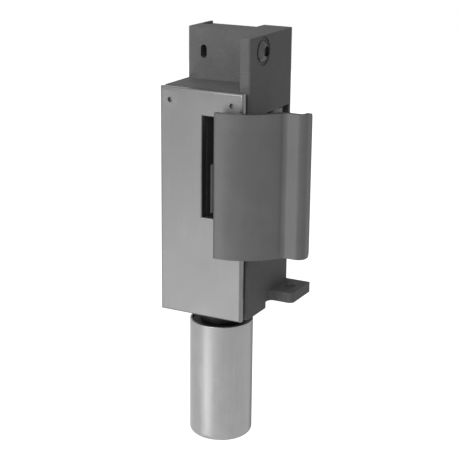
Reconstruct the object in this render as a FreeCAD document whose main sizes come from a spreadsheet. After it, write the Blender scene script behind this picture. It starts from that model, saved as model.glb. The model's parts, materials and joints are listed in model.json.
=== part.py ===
"""Electric strike: a cast housing behind a bright front plate, with a swinging keeper and a
tubular solenoid that locks it.

Millimetres. The origin is the middle of the housing's flat back face, +Z is up, the front
plate faces -Y and the keeper looks out of the +X side.
"""
import FreeCAD
import Part
import Sketcher
import math
import os

from FreeCAD import Vector

SIZES = {
    # Cast housing
    "housing_width": 36.0,
    "housing_depth": 36.1,
    "side_wall": 3.0,
    "window_wall": 4.2,
    "rear_wall": 2.5,
    "floor_wall": 3.0,
    "shelf_thickness": 4.0,
    "chamber_height": 18.9,
    "head_thickness": 9.8,
    "pocket_depth": 16.0,
    "pocket_wall": 2.2,
    "bracket_height": 19.9,
    "bracket_depth": 18.6,
    "bracket_wall": 4.2,
    "casting_edge_radius": 1.2,
    "bracket_slot_width": 2.6,
    "bracket_slot_length": 5.2,
    "bracket_slot_side": 7.0,
    "bracket_slot_rise": 10.7,
    "bracket_notch_width": 22.6,
    "bracket_notch_depth": 1.0,
    "foot_reach": 10.0,
    "foot_depth": 16.5,
    "foot_thickness": 4.2,
    "foot_rise": 2.5,
    "foot_step_depth": 20.2,
    "foot_corner_radius": 2.2,
    "foot_hole_radius": 2.25,
    "pad_width": 8.0,
    # Front plate
    "plate_width": 35.0,
    "plate_thickness": 2.4,
    "plate_gap": 1.5,
    "plate_edge_radius": 0.9,
    "latch_opening_width": 16.8,
    "latch_opening_height": 39.0,
    "plate_screw_side": 4.4,
    "plate_screw_edge": 4.8,
    "plate_screw_radius": 1.75,
    "plate_screw_head_radius": 3.4,
    "plate_screw_head_height": 1.9,
    "plate_screw_length": 10.0,
    "tapping_allowance": 1.0,
    "dowel_radius": 1.5,
    "dowel_seat": 1.2,
    "dowel_length": 6.0,
    "driver_socket_width": 2.0,
    "driver_socket_depth": 1.1,
    # Keeper
    "keeper_body_height": 52.1,
    "ramp_rise": 3.5,
    "keeper_gap": 0.5,
    "keeper_edge": 26.6,
    "keeper_edge_front": 6.0,
    "keeper_edge_radius": 1.3,
    "nib_reach": 1.7,
    "nib_rise": 17.6,
    "nib_height": 18.5,
    "ramp_thickness": 3.0,
    "ramp_radius": 27.0,
    "ramp_end_depth": 5.9,
    "waist_radius": 2.5,
    "waist_run": 2.5,
    "flare_depth": 7.5,
    "flare_thickness": 1.7,
    "nose_radius": 3.4,
    "nose_run": 3.2,
    "keeper_reach": 57.0,
    "nose_depth": 11.2,
    "curl_return": 0.5,
    "curl_depth": 14.6,
    "arm_inner": 36.4,
    "arm_inset": 1.9,
    "arm_back_depth": 17.3,
    "arm_shoulder": 41.0,
    "arm_drop": 4.0,
    "arm_thickness": 6.0,
    "keeper_hub_radius": 5.0,
    "keeper_pin_radius": 2.0,
    "keeper_pin_side": 30.5,
    "keeper_pin_depth": 32.0,
    "keeper_pin_socket": 5.0,
    "keeper_tail_length": 13.0,
    "keeper_tail_thickness": 3.0,
    "keeper_tail_height": 6.5,
    "running_clearance": 0.06,
    # Torsion spring of the keeper
    "spring_bay_drop": 20.5,
    "spring_bay_height": 9.0,
    "spring_wire": 0.9,
    "spring_coil_radius": 3.4,
    "spring_turns": 4.5,
    "spring_bay_clearance": 1.2,
    # Lock lever
    "lever_side": 9.5,
    "lever_rise": 12.0,
    "lever_arm": 8.0,
    "lever_travel": 16.0,
    "lever_hub_radius": 2.9,
    "lever_thickness": 2.6,
    "lever_pin_radius": 1.5,
    "lever_boss_radius": 4.0,
    "finger_width": 3.6,
    "finger_edge": 16.5,
    "finger_reach": 6.6,
    "finger_gap": 0.3,
    "fork_wall": 1.4,
    "fork_reach": 0.8,
    "shelf_slot_margin": 1.2,
    # Retaining rings
    "ring_thickness": 0.8,
    "ring_reach": 1.6,
    "ring_groove_gap": 0.05,
    "pin_end_gap": 0.3,
    # Solenoid
    "can_axis_depth": 18.0,
    "can_radius": 12.65,
    "can_length": 49.4,
    "can_drop": 6.15,
    "can_wall": 1.1,
    "can_bottom_radius": 2.4,
    "end_disc_recess": 0.5,
    "end_disc_thickness": 2.0,
    "bush_collar_radius": 8.5,
    "bush_thread_radius": 7.0,
    "bush_spigot_radius": 6.0,
    "nut_across_flats": 18.0,
    "nut_height": 3.0,
    "nut_gap": 0.05,
    "thread_end": 0.8,
    "plunger_radius": 4.0,
    "plunger_clearance": 0.08,
    "plunger_top": 15.5,
    "plunger_depth": 30.0,
    "plunger_slot_margin": 0.2,
    "plunger_slot_depth": 6.0,
    "link_pin_radius": 1.0,
    "link_clearance": 0.15,
    "air_gap": 2.6,
    "return_spring_wire": 0.5,
    "return_spring_radius": 2.0,
    "return_spring_bore": 2.6,
    "return_spring_pocket": 8.0,
    "return_spring_turns": 6.0,
    "bobbin_flange": 1.5,
    "bobbin_tube_wall": 1.0,
    "bobbin_rim_gap": 0.2,
    "coil_rim_gap": 0.8,
    "grommet_radius": 3.0,
    "grommet_hole_radius": 1.2,
    "grommet_drop": 9.0,
    "grommet_lip": 0.8,
    "grommet_flange": 1.4,
    # Side screw
    "side_screw_radius": 2.5,
    "side_screw_head_radius": 4.15,
    "side_screw_head_height": 2.2,
    "side_screw_depth": 14.6,
    "side_screw_rise": 13.9,
    "side_screw_length": 6.0,
    "side_recess_radius": 5.45,
    "side_recess_depth": 0.5,
}


class Size:
    """A length or an angle, kept both as a number and as the sheet formula that gives it."""

    def __init__(self, value, formula):
        self.value = value
        self.formula = formula

    @staticmethod
    def of(thing):
        return thing if isinstance(thing, Size) else Size(float(thing), "%g" % thing)

    def joined(self, other, sign, value):
        return Size(value, "(%s %s %s)" % (self.formula, sign, Size.of(other).formula))

    def __add__(self, other):
        return self.joined(other, "+", self.value + Size.of(other).value)

    def __sub__(self, other):
        return self.joined(other, "-", self.value - Size.of(other).value)

    def __mul__(self, other):
        return self.joined(other, "*", self.value * Size.of(other).value)

    def __truediv__(self, other):
        return self.joined(other, "/", self.value / Size.of(other).value)

    def __neg__(self):
        return Size(-self.value, "(0 - %s)" % self.formula)

    def __radd__(self, other):
        return Size.of(other) + self

    def __rsub__(self, other):
        return Size.of(other) - self

    def __rmul__(self, other):
        return Size.of(other) * self


def tangent(angle):
    """The tangent of an angle in degrees."""
    return Size(math.tan(math.radians(angle.value)), "tan(%s * 1deg)" % angle.formula)


doc = FreeCAD.newDocument("electric_strike")
sheet = doc.addObject("Spreadsheet::Sheet", "Sizes")
for row, (alias, number) in enumerate(SIZES.items(), start=1):
    sheet.set("A%d" % row, alias)
    sheet.set("B%d" % row, "%g" % number)
    sheet.setAlias("B%d" % row, alias)
doc.recompute()
size = {alias: Size(number, "Sizes." + alias) for alias, number in SIZES.items()}
parts = []


def tie(thing, place, amount):
    """Bind one property of an object to the sheet."""
    thing.setExpression(place, Size.of(amount).formula)


def new_body(name):
    """An empty body; its name becomes the file's name."""
    made = doc.addObject("PartDesign::Body", name)
    made.Label = name
    parts.append(made)
    return made


def new_sketch(made, plane, level):
    """A sketch on one of the body's own planes, lifted to a level along that plane's axis."""
    drawing = made.newObject("Sketcher::SketchObject", made.Name + "_sketch")
    support = [flat for flat in made.Origin.OriginFeatures if flat.Role == plane + "_Plane"][0]
    drawing.AttachmentSupport = [(support, "")]
    drawing.MapMode = "FlatFace"
    tie(drawing, "AttachmentOffset.Base.z", -Size.of(level) if plane == "XZ" else level)
    return drawing


def pin_point(drawing, edge, end, across, up):
    """Hold one end of an edge at a tied place."""
    for kind, amount in (("DistanceX", across), ("DistanceY", up)):
        number = drawing.addConstraint(
            Sketcher.Constraint(kind, -1, 1, edge, end, Size.of(amount).value))
        tie(drawing, "Constraints[%d]" % number, amount)


def arc_between(first, last, radius, turn):
    """The short arc of a radius from one point to another, turning left (1) or right (-1)."""
    chord = last - first
    middle = (first + last) / 2
    height = math.sqrt(max(radius ** 2 - chord.Length ** 2 / 4, 0))
    side = Vector(-chord.y, chord.x, 0).normalize() * turn
    centre = middle + side * height
    crown = centre - side * radius
    return Part.Arc(first, crown, last)


def hold_bend(drawing, edge, chord, point):
    """Hold an arc by its radius, or a half circle by the level of its centre."""
    radius = Size.of(point[2])
    if abs(chord - 2 * radius.value) < 1e-6:
        held = drawing.addConstraint(
            Sketcher.Constraint("DistanceY", -1, 1, edge, 3, Size.of(point[1]).value))
        tie(drawing, "Constraints[%d]" % held, point[1])
    else:
        held = drawing.addConstraint(Sketcher.Constraint("Radius", edge, radius.value))
        tie(drawing, "Constraints[%d]" % held, radius)


def draw_outline(drawing, points):
    """A closed outline. Each point is (across, up), or (across, up, radius, turn) where an arc
    of that radius runs from the point before to this one."""
    spots = [Vector(Size.of(point[0]).value, Size.of(point[1]).value, 0) for point in points]
    edges = []
    for number, point in enumerate(points):
        first, last = spots[number - 1], spots[number]
        if len(point) == 4:
            shape = arc_between(first, last, Size.of(point[2]).value, point[3])
        else:
            shape = Part.LineSegment(first, last)
        edges.append((drawing.addGeometry(shape, False), point))
    for number, (edge, point) in enumerate(edges):
        after, after_point = edges[(number + 1) % len(edges)]
        end = 1 if len(point) == 4 and point[3] < 0 else 2
        start = 2 if len(after_point) == 4 and after_point[3] < 0 else 1
        drawing.addConstraint(Sketcher.Constraint("Coincident", edge, end, after, start))
        pin_point(drawing, edge, end, point[0], point[1])
        if len(point) == 4:
            hold_bend(drawing, edge, spots[number - 1].distanceToPoint(spots[number]), point)


def draw_circle(drawing, across, up, radius):
    """A tied circle."""
    centre = Vector(Size.of(across).value, Size.of(up).value, 0)
    edge = drawing.addGeometry(
        Part.Circle(centre, Vector(0, 0, 1), Size.of(radius).value), False)
    pin_point(drawing, edge, 3, across, up)
    held = drawing.addConstraint(Sketcher.Constraint("Radius", edge, Size.of(radius).value))
    tie(drawing, "Constraints[%d]" % held, radius)


def box_points(left, right, bottom, top):
    """The four corners of a rectangle."""
    return [(left, bottom), (right, bottom), (right, top), (left, top)]


def feature(made, kind, plane, start, end, drawing_work):
    """A pad or pocket that fills the span from start to end along the plane's axis."""
    adds = kind == "Pad"
    forward = plane != "XZ"
    level = (start if forward else end) if adds else (end if forward else start)
    drawing = new_sketch(made, plane, level)
    drawing_work(drawing)
    before = made.Shape.Volume if made.Tip else 0
    solid = made.newObject("PartDesign::" + kind, made.Name + "_" + kind.lower())
    solid.Profile = drawing
    tie(solid, "Length", end - start)
    doc.recompute()
    change = made.Shape.Volume - before
    if change * (1 if adds else -1) <= 0:
        raise ValueError("%s of %s changes nothing: %g" % (kind, made.Name, change))
    return solid


def pad(made, plane, start, end, points):
    """A straight pad of one outline."""
    return feature(made, "Pad", plane, start, end, lambda drawing: draw_outline(drawing, points))


def pocket(made, plane, start, end, points):
    """A straight pocket of one outline."""
    return feature(made, "Pocket", plane, start, end,
                   lambda drawing: draw_outline(drawing, points))


def drum(made, plane, start, end, across, up, radius):
    """A round pad."""
    return feature(made, "Pad", plane, start, end,
                   lambda drawing: draw_circle(drawing, across, up, radius))


def bore(made, plane, start, end, across, up, radius):
    """A round pocket."""
    return feature(made, "Pocket", plane, start, end,
                   lambda drawing: draw_circle(drawing, across, up, radius))


def turned(name, across, depth, points):
    """A turned piece: an outline in (radius, height) about a vertical axis."""
    made = new_body(name)
    drawing = new_sketch(made, "XZ", 0)
    draw_outline(drawing, points)
    solid = made.newObject("PartDesign::Revolution", name + "_turn")
    solid.Profile = drawing
    solid.ReferenceAxis = (drawing, ["V_Axis"])
    solid.Angle = 360
    tie(made, "Placement.Base.x", across)
    tie(made, "Placement.Base.y", depth)
    doc.recompute()
    return made


def round_edges(made, wanted, radius):
    """Fillet the edges of the body's last feature that a test picks."""
    base = made.Tip
    names = ["Edge%d" % number for number, edge in enumerate(base.Shape.Edges, start=1)
             if wanted(edge)]
    if not names:
        raise ValueError("no edge to round on " + made.Name)
    soft = made.newObject("PartDesign::Fillet", made.Name + "_fillet")
    soft.Base = (base, names)
    tie(soft, "Radius", radius)
    doc.recompute()
    return soft


def lies_at(edge, axis, amount):
    """True where a whole edge lies at one coordinate."""
    box = edge.BoundBox
    low, high = {"x": (box.XMin, box.XMax), "y": (box.YMin, box.YMax),
                 "z": (box.ZMin, box.ZMax)}[axis]
    return abs(low - Size.of(amount).value) < 0.01 and abs(high - Size.of(amount).value) < 0.01


# Datum faces of the housing
left = -size["housing_width"] / 2
right = size["housing_width"] / 2
window_height = size["keeper_body_height"] + size["keeper_gap"] * 2
housing_height = (size["floor_wall"] + size["chamber_height"] + size["shelf_thickness"]
                  + window_height + size["head_thickness"])
base = -housing_height / 2
top = housing_height / 2
mouth = -size["housing_depth"]
plate_back = mouth - size["plate_gap"]
plate_front = plate_back - size["plate_thickness"]
inner_left = left + size["side_wall"]
inner_right = right - size["window_wall"]
inner_back = -size["rear_wall"]
floor = base + size["floor_wall"]
shelf_under = floor + size["chamber_height"]
shelf = shelf_under + size["shelf_thickness"]
ceiling = shelf + window_height
bracket_top = top + size["bracket_height"]

# Keeper
keeper_low = shelf + size["keeper_gap"]
body_high = keeper_low + size["keeper_body_height"]
keeper_high = body_high + size["ramp_rise"]
hinge_x = left + size["keeper_pin_side"]
hinge_y = plate_front + size["keeper_pin_depth"]
keeper_left = left + size["keeper_edge"]
keeper_front = plate_front - size["keeper_edge_front"]
latch_left = left + size["plate_width"] - size["latch_opening_width"]
plate_low_row = base + size["plate_screw_edge"]
plate_high_row = top - size["plate_screw_edge"]
dowel_start = plate_back - size["dowel_seat"]
dowel_end = dowel_start + size["dowel_length"]
tail_left = hinge_x - size["keeper_tail_length"]
tail_front = hinge_y - size["keeper_tail_thickness"] / 2
spring_low = body_high - size["spring_bay_drop"]
spring_high = spring_low + size["spring_bay_height"]

# Lock lever and solenoid
lever_x = left + size["lever_side"]
lever_z = base + size["lever_rise"]
plunger_x = lever_x + size["lever_arm"]
plunger_y = plate_front + size["can_axis_depth"]
finger_back = tail_front - size["finger_gap"]
finger_front = finger_back - size["lever_thickness"]
arm_front = plunger_y - size["lever_thickness"] / 2
arm_back = plunger_y + size["lever_thickness"] / 2
finger_right = left + size["finger_edge"]
finger_left = finger_right - size["finger_width"]
finger_high = keeper_low + size["finger_reach"]
can_top = base - size["can_drop"]
can_low = can_top - size["can_length"]
disc_top = can_top - size["end_disc_recess"]
disc_low = disc_top - size["end_disc_thickness"]
can_floor = can_low + size["can_wall"]
plunger_low = base - size["plunger_depth"]
plunger_high = base + size["plunger_top"]
pole_top = plunger_low - size["air_gap"]
tube_radius = size["plunger_radius"] + size["plunger_clearance"]


def make_housing():
    """The casting: an open-fronted case with a window for the keeper, a bracket and a foot."""
    made = new_body("housing")
    pad(made, "XZ", mouth, Size.of(0), box_points(left, right, base, top))
    pad(made, "XZ", -size["bracket_depth"], Size.of(0), box_points(left, right, top, bracket_top))
    pad(made, "XZ", mouth, -size["bracket_depth"],
        box_points(right - size["bracket_wall"], right, top, bracket_top))
    corners = [(left, -size["bracket_depth"]), (right, mouth), (left, Size.of(0)),
               (right, Size.of(0))]
    round_edges(made, lambda edge: any(stands_at(edge, *corner) for corner in corners),
                size["casting_edge_radius"])
    pocket(made, "XZ", mouth, inner_back, box_points(inner_left, inner_right, floor, shelf_under))
    pocket(made, "XZ", mouth, inner_back, box_points(inner_left, right, shelf, ceiling))
    make_latch_pocket(made)
    make_screw_pads(made)
    make_pin_seats(made)
    make_bracket_details(made)
    make_foot(made)
    return made


def make_latch_pocket(made):
    """The wall that parts the latch's pocket from the mechanism behind it."""
    pocket_back = plate_back + size["pocket_depth"]
    wall_back = pocket_back + size["pocket_wall"]
    wall_left = latch_left - size["pocket_wall"]
    wall_right = hinge_x - size["running_clearance"]
    pad(made, "XY", shelf, ceiling, [
        (wall_left, mouth), (latch_left, mouth), (latch_left, pocket_back),
        (wall_right, pocket_back), (wall_right, wall_back), (wall_left, wall_back)])


def make_screw_pads(made):
    """Four raised pads for the plate: the upper two tapped, the lower two bored for dowels."""
    reach = size["pad_width"] / 2
    for across in plate_columns():
        for up in (plate_low_row, plate_high_row):
            pad(made, "XZ", plate_back, mouth + size["pad_width"],
                box_points(across - reach, across + reach, up - reach, up + reach))
        bore(made, "XZ", plate_back,
             plate_front + size["plate_screw_length"] + size["tapping_allowance"],
             across, plate_high_row, size["plate_screw_radius"])
        bore(made, "XZ", plate_back, dowel_end, across, plate_low_row, size["dowel_radius"])


def plate_columns():
    """Both columns of the plate's fixings."""
    edge = size["plate_screw_side"]
    return [left + edge, left + size["plate_width"] - edge]


def make_pin_seats(made):
    """The bores of the keeper's pin, the lever's boss and slot, and the solenoid's hole."""
    bore(made, "XY", shelf_under, shelf, hinge_x, hinge_y, size["keeper_pin_radius"])
    bore(made, "XY", ceiling, ceiling + size["keeper_pin_socket"], hinge_x, hinge_y,
         size["keeper_pin_radius"])
    bore(made, "XY", shelf_under - size["ring_thickness"] * 4, shelf_under, hinge_x, hinge_y,
         size["keeper_pin_radius"] + size["ring_reach"] + size["finger_gap"])
    boss_front = finger_back + size["finger_gap"]
    drum(made, "XZ", boss_front, inner_back, lever_x, lever_z, size["lever_boss_radius"])
    bore(made, "XZ", boss_front, -size["rear_wall"] / 2, lever_x, lever_z,
         size["lever_pin_radius"])
    margin = size["shelf_slot_margin"]
    swing = (finger_high - lever_z) * tangent(size["lever_travel"])
    pocket(made, "XY", shelf_under, shelf, box_points(
        finger_left - margin * 2, finger_right + swing + margin,
        finger_front - margin, finger_back + margin))
    bore(made, "XY", base, floor, plunger_x, plunger_y, size["bush_thread_radius"])


def make_bracket_details(made):
    """The fixing slot, the shallow notch in the top and the side screw's seat."""
    reach = size["bracket_slot_width"] / 2
    run = size["bracket_slot_length"] / 2 - reach
    across = left + size["bracket_slot_side"]
    up = top + size["bracket_slot_rise"]
    pocket(made, "XZ", -size["bracket_depth"], Size.of(0), [
        (across - reach, up - run), (across + reach, up - run, reach, 1),
        (across + reach, up + run), (across - reach, up + run, reach, 1)])
    notch_left = left + size["bracket_notch_depth"]
    pocket(made, "XZ", -size["bracket_depth"] / 2, Size.of(0), box_points(
        notch_left, notch_left + size["bracket_notch_width"],
        bracket_top - size["bracket_notch_depth"], bracket_top))
    depth = plate_front + size["side_screw_depth"]
    height = top + size["side_screw_rise"]
    bore(made, "YZ", right - size["side_recess_depth"], right, depth, height,
         size["side_recess_radius"])
    bore(made, "YZ", right - size["bracket_wall"], right - size["side_recess_depth"],
         depth, height, size["side_screw_radius"])


def make_foot(made):
    """The foot beside the base, with its corners rounded and a fixing hole."""
    outer = right + size["foot_reach"]
    front = -size["foot_depth"]
    bend = size["foot_corner_radius"]
    foot_low = base + size["foot_rise"]
    foot_high = foot_low + size["foot_thickness"]
    root = right - size["window_wall"] / 2
    pocket(made, "XZ", plate_front + size["foot_step_depth"], Size.of(0), box_points(
        right - size["window_wall"], right, base, foot_low))
    pad(made, "XY", foot_low, foot_high, [
        (root, front - bend), (right, front - bend), (right + bend, front, bend, -1),
        (outer - bend, front), (outer, front + bend, bend, 1),
        (outer, Size.of(0)), (root, Size.of(0))])
    bore(made, "XY", foot_low, foot_high, right + size["foot_reach"] / 2, front / 2,
         size["foot_hole_radius"])


def make_front_plate():
    """The bright plate, with the latch's opening let in from its right edge."""
    made = new_body("front_plate")
    plate_right = left + size["plate_width"]
    low = ceiling - size["latch_opening_height"]
    pad(made, "XZ", plate_front, plate_back, [
        (left, base), (plate_right, base), (plate_right, low), (latch_left, low),
        (latch_left, ceiling), (plate_right, ceiling), (plate_right, top), (left, top)])
    round_edges(made, lambda edge: lies_at(edge, "y", plate_front), size["plate_edge_radius"])
    for across in plate_columns():
        bore(made, "XZ", plate_front, plate_back, across, plate_high_row,
             size["plate_screw_radius"])
        countersink(made, across, plate_high_row)
        bore(made, "XZ", dowel_start, plate_back, across, plate_low_row, size["dowel_radius"])
    return made


def countersink(made, across, up):
    """A cone let into the plate's face."""
    drawing = new_sketch(made, "YZ", across)
    draw_outline(drawing, [
        (plate_front, up), (plate_front, up + size["plate_screw_head_radius"]),
        (plate_front + size["plate_screw_head_height"], up + size["plate_screw_radius"]),
        (plate_front + size["plate_screw_head_height"], up)])
    cut = made.newObject("PartDesign::Groove", made.Name + "_countersink")
    axis = drawing.addGeometry(Part.LineSegment(
        Vector(plate_front.value, up.value, 0), Vector(plate_back.value, up.value, 0)), True)
    pin_point(drawing, axis, 1, plate_front, up)
    pin_point(drawing, axis, 2, plate_back, up)
    cut.Profile = drawing
    cut.ReferenceAxis = (drawing, ["Axis0"])
    cut.Angle = 360
    doc.recompute()


def make_plate_screws():
    """The two countersunk screws of the plate, each turned and given a hexagon socket."""
    head = size["plate_screw_head_radius"]
    shank = size["plate_screw_radius"]
    screws = []
    for column, across in enumerate(plate_columns()):
        name = "plate_screw_%d" % column
        cone = doc.addObject("Part::Cone", name + "_head")
        tie(cone, "Radius1", head)
        tie(cone, "Radius2", shank)
        tie(cone, "Height", size["plate_screw_head_height"])
        rod = doc.addObject("Part::Cylinder", name + "_shank")
        tie(rod, "Radius", shank)
        tie(rod, "Height", size["plate_screw_length"])
        socket = doc.addObject("Part::Prism", name + "_socket")
        socket.Polygon = 6
        tie(socket, "Circumradius", size["driver_socket_width"] / math.sqrt(3))
        tie(socket, "Height", size["driver_socket_depth"])
        for piece in (cone, rod, socket):
            lay_back(piece, across, plate_front, plate_high_row)
        whole = doc.addObject("Part::Fuse", name + "_whole")
        whole.Base = cone
        whole.Tool = rod
        screw = doc.addObject("Part::Cut", name)
        screw.Base = whole
        screw.Tool = socket
        screws.append(screw)
    bundle("plate_screws", screws)


def lay_back(piece, across, depth, up):
    """Turn a solid's own axis to face +Y and tie the place of its first end."""
    piece.Placement = FreeCAD.Placement(Vector(), FreeCAD.Rotation(Vector(1, 0, 0), -90))
    tie(piece, "Placement.Base.x", across)
    tie(piece, "Placement.Base.y", depth)
    tie(piece, "Placement.Base.z", up)


def bundle(name, pieces):
    """One node made of like pieces."""
    group = doc.addObject("Part::Compound", name)
    group.Label = name
    group.Links = pieces
    parts.append(group)


def make_plate_dowels():
    """The two blind dowels that locate the plain lower end of the plate."""
    dowels = []
    for column, across in enumerate(plate_columns()):
        dowel = doc.addObject("Part::Cylinder", "plate_dowel_%d" % column)
        tie(dowel, "Radius", size["dowel_radius"])
        tie(dowel, "Height", size["dowel_length"])
        lay_back(dowel, across, dowel_start, plate_low_row)
        dowels.append(dowel)
    bundle("plate_dowels", dowels)


def make_keeper():
    """The keeper: a curved ramp that ends in a flare and a rolled nose, on a hub and arms."""
    made = new_body("keeper")
    thick = size["ramp_thickness"]
    thin = size["flare_thickness"]
    hub = size["keeper_hub_radius"]
    nose = size["nose_radius"]
    ramp = size["ramp_radius"]
    nose_x = left + size["keeper_reach"]
    nose_y = plate_front + size["nose_depth"]
    ramp_x = keeper_left + (nose_x - keeper_left) * 0.7
    ramp_y = plate_front + size["ramp_end_depth"]
    flat_x = ramp_x + size["waist_run"]
    flat_y = plate_front + size["flare_depth"]
    bend_x = nose_x - size["nose_run"]
    curl_x = nose_x - size["curl_return"]
    curl_y = plate_front + size["curl_depth"]
    pad(made, "XY", keeper_low, keeper_high, [
        (keeper_left, keeper_front), (ramp_x, ramp_y, ramp, 1),
        (flat_x, flat_y, size["waist_radius"], -1), (bend_x, flat_y),
        (nose_x, nose_y, nose, 1), (curl_x, curl_y, nose * 2, 1),
        (curl_x - thin, curl_y), (nose_x - thin, nose_y, nose * 2 - thin, -1),
        (bend_x, flat_y + thin, nose - thin, -1), (flat_x, flat_y + thin),
        (ramp_x - thick * 0.7, ramp_y + thick * 0.7, size["waist_radius"] + thin, 1),
        (keeper_left, keeper_front + thick, ramp - thick, -1)])
    round_edges(made, lambda edge: stands_at(edge, keeper_left, keeper_front),
                size["keeper_edge_radius"])
    make_keeper_arms(made, ramp_x, ramp_y)
    nib_low = keeper_low + size["nib_rise"]
    pad(made, "XY", nib_low, nib_low + size["nib_height"], box_points(
        keeper_left - size["nib_reach"], keeper_left + size["nib_reach"],
        keeper_front + size["keeper_edge_radius"], keeper_front + thick))
    pad(made, "XY", keeper_low, keeper_low + size["keeper_tail_height"], box_points(
        tail_left, hinge_x, tail_front, tail_front + size["keeper_tail_thickness"]))
    bore(made, "XY", keeper_low, body_high, hinge_x, hinge_y,
         size["keeper_pin_radius"] + size["running_clearance"])
    bore(made, "XY", spring_low, spring_high, hinge_x, hinge_y,
         hub + size["spring_bay_clearance"])
    return made


def make_keeper_arms(made, ramp_x, ramp_y):
    """The hub's tube, and the two arms and the web that carry the ramp on it."""
    hub = size["keeper_hub_radius"]
    inner = left + size["arm_inner"]
    outer = ramp_x - size["arm_inset"]
    back = plate_front + size["arm_back_depth"]
    shoulder = left + size["arm_shoulder"]
    front = plate_front + size["ramp_thickness"] / 2
    arm = size["arm_thickness"]
    drum(made, "XY", keeper_low, body_high, hinge_x, hinge_y, hub)
    outline = [
        (inner, front - size["ramp_thickness"]), (outer, ramp_y),
        (outer, back - size["ramp_thickness"]), (shoulder, back + size["ramp_thickness"]),
        (hinge_x + hub * 0.9, hinge_y), (hinge_x - hub * 0.9, hinge_y), (inner, back)]
    low = keeper_low + size["arm_drop"]
    pad(made, "XY", low, low + arm, outline)
    high = body_high - size["ramp_rise"]
    pad(made, "XY", high - arm, high, outline)
    pad(made, "XY", low + arm, high - arm, [
        (inner, front - size["ramp_thickness"]), (inner + arm / 2, front),
        (inner + arm / 2, back), (hinge_x + hub * 0.9, hinge_y), (hinge_x, hinge_y),
        (inner, back)])


def stands_at(edge, across, depth):
    """True where a whole edge stands upright at one place in plan."""
    return lies_at(edge, "x", across) and lies_at(edge, "y", depth)


def make_keeper_pin():
    """The pin that the keeper swings on, from below the shelf up into the head."""
    ring = size["ring_thickness"]
    low = shelf_under - ring * 2.5
    groove = shelf_under - ring * 1.25
    high = ceiling + size["keeper_pin_socket"] - size["pin_end_gap"]
    gap = size["ring_groove_gap"]
    radius = size["keeper_pin_radius"]
    turned("keeper_pin", hinge_x, hinge_y, [
        (0, low), (radius, low), (radius, groove - gap), (radius * 0.8, groove - gap),
        (radius * 0.8, groove + ring + gap), (radius, groove + ring + gap), (radius, high),
        (0, high)])
    retaining_ring("keeper_pin_ring", hinge_x, hinge_y, groove, radius * 0.8, "XY")


def retaining_ring(name, across, other, level, inner, plane):
    """A flat spring ring in a pin's groove."""
    made = new_body(name)
    outer = inner + size["ring_reach"]
    drum(made, plane, level, level + size["ring_thickness"], across, other, outer)
    bore(made, plane, level, level + size["ring_thickness"], across, other, inner)
    gap = inner * 0.6
    pocket(made, plane, level, level + size["ring_thickness"], box_points(
        across - gap, across + gap, other - outer - 1, other - inner * 0.5))
    return made


def coil_spring(name, radius, wire, turns, height, place):
    """A coil, its wire drawn with eight flats, swept along a helix."""
    pitch = height / turns
    helix = Part.makeHelix(pitch, height, radius)
    start = helix.Vertexes[0].Point
    corners = []
    for number in range(9):
        angle = math.radians(45 * number + 22.5)
        corners.append(start + Vector(math.cos(angle), 0, math.sin(angle)) * (wire / 2))
    section = Part.makePolygon(corners)
    swept = Part.Wire(helix.Edges).makePipeShell([section], True, True)
    made = doc.addObject("Part::Feature", name)
    made.Label = name
    made.Shape = swept
    made.Placement = FreeCAD.Placement(place, FreeCAD.Rotation())
    parts.append(made)
    return made


def make_springs():
    """The keeper's closing spring and the plunger's return spring."""
    wire = SIZES["spring_wire"]
    coil_spring("keeper_spring", SIZES["spring_coil_radius"], wire, SIZES["spring_turns"],
                SIZES["spring_bay_height"] - 2 * wire,
                Vector(hinge_x.value, hinge_y.value, spring_low.value + wire))
    thin = SIZES["return_spring_wire"]
    length = SIZES["air_gap"] + SIZES["return_spring_pocket"] - thin
    coil_spring("return_spring", SIZES["return_spring_radius"], thin,
                SIZES["return_spring_turns"], length,
                Vector(plunger_x.value, plunger_y.value, pole_top.value + thin / 2))


def make_lever():
    """The bell crank: a hub tube, an arm to the plunger and an upright with its finger."""
    made = new_body("locking_lever")
    hub = size["lever_hub_radius"]
    pin = size["link_pin_radius"] + size["link_clearance"]
    reach = pin + size["fork_wall"]
    drum(made, "XZ", arm_front, finger_back, lever_x, lever_z, hub)
    fork = plunger_x + pin + size["fork_reach"]
    pad(made, "XZ", arm_front, arm_back, [
        (lever_x, lever_z - hub * 0.8), (fork, lever_z - reach), (fork, lever_z + reach),
        (lever_x, lever_z + hub * 0.8)])
    pocket(made, "XZ", arm_front, arm_back, box_points(
        plunger_x - pin - size["plunger_slot_margin"], fork + 1, lever_z - pin, lever_z + pin))
    pad(made, "XZ", finger_front, finger_back, [
        (lever_x - hub * 0.9, lever_z), (lever_x + hub * 0.9, lever_z),
        (finger_right, shelf_under + size["shelf_thickness"] / 2), (finger_right, finger_high),
        (finger_left, finger_high), (finger_left, shelf)])
    bore(made, "XZ", arm_front, finger_back, lever_x, lever_z,
         size["lever_pin_radius"] + size["running_clearance"])
    return made


def make_lever_pin():
    """The lever's pin, pressed into the rear boss, with its ring in front of the hub."""
    made = new_body("lever_pin")
    radius = size["lever_pin_radius"]
    ring = size["ring_thickness"]
    gap = size["finger_gap"]
    groove = arm_front - gap - ring
    drum(made, "XZ", groove - ring, -size["rear_wall"] / 2, lever_x, lever_z, radius)
    slack = size["ring_groove_gap"]
    feature(made, "Pocket", "XZ", groove - slack, groove + ring + slack,
            lambda drawing: draw_ring(drawing, lever_x, lever_z, radius + ring, radius * 0.8))
    retaining_ring("lever_pin_ring", lever_x, lever_z, groove, radius * 0.8, "XZ")


def draw_ring(drawing, across, up, outer, inner):
    """Two tied circles about one centre."""
    draw_circle(drawing, across, up, outer)
    draw_circle(drawing, across, up, inner)


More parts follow.
